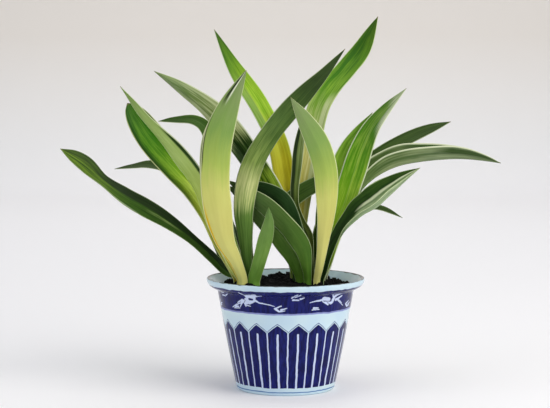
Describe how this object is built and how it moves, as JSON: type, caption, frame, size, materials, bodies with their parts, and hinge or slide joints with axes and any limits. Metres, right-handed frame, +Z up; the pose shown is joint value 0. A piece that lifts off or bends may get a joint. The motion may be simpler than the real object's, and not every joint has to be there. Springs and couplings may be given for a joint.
{
  "type": "potted japanese sacred lily",
  "caption": "Japanese sacred lily: long arching pointed leaves with pale streaks and edges, in a tapered blue and white porcelain pot filled with dark soil.",
  "frame": {"origin": "centre of the pot's foot ring, on the surface that the pot stands on", "axes": "+Z up along the pot's axis; +Y is the direction the picture looks along; +X to the picture's right, along the plant's widest spread"},
  "size_m": [0.4734, 0.211, 0.4023],
  "materials": {
    "porcelain": "glossy bluish white glaze with cobalt blue painting under it",
    "soil": "loose dark potting soil, matt and granular",
    "rhizome": "fleshy brown underground stem with ringed scars",
    "leaf_green": "living leaf, leathery and waxy, bright green streaked with lime",
    "leaf_dark": "living leaf, leathery and waxy, dark green",
    "leaf_pale": "living leaf seen from its matt underside, pale green to cream"
  },
  "bodies": {
    "root": {"leaf_back_centre": "leaf_green", "leaf_back_far_right": "leaf_green", "leaf_back_left": "leaf_green", "leaf_back_left_low": "leaf_dark", "leaf_back_right": "leaf_green", "leaf_back_right_low": "leaf_dark", "leaf_centre_diagonal": "leaf_green", "leaf_centre_upright": "leaf_dark", "leaf_dark_arch": "leaf_dark", "leaf_front_centre": "leaf_green", "leaf_front_centre_behind": "leaf_dark", "leaf_front_left": "leaf_pale", "leaf_front_left_behind": "leaf_pale", "leaf_front_right": "leaf_pale", "leaf_front_short": "leaf_green", "leaf_left_back_low": "leaf_dark", "leaf_left_back_slim": "leaf_green", "leaf_left_low": "leaf_dark", "leaf_left_narrow": "leaf_pale", "leaf_left_streaky": "leaf_green", "leaf_left_wide": "leaf_green", "leaf_right_bright": "leaf_green", "leaf_right_bright_behind": "leaf_green", "leaf_right_channel": "leaf_dark", "leaf_right_drooping": "leaf_dark", "leaf_right_far": "leaf_dark", "leaf_right_long": "leaf_green", "leaf_tall_left": "leaf_green", "leaf_tall_right": "leaf_green", "pot": "porcelain", "rhizome_left": "rhizome", "rhizome_right": "rhizome", "soil": "soil"}
  },
  "joints": []
}
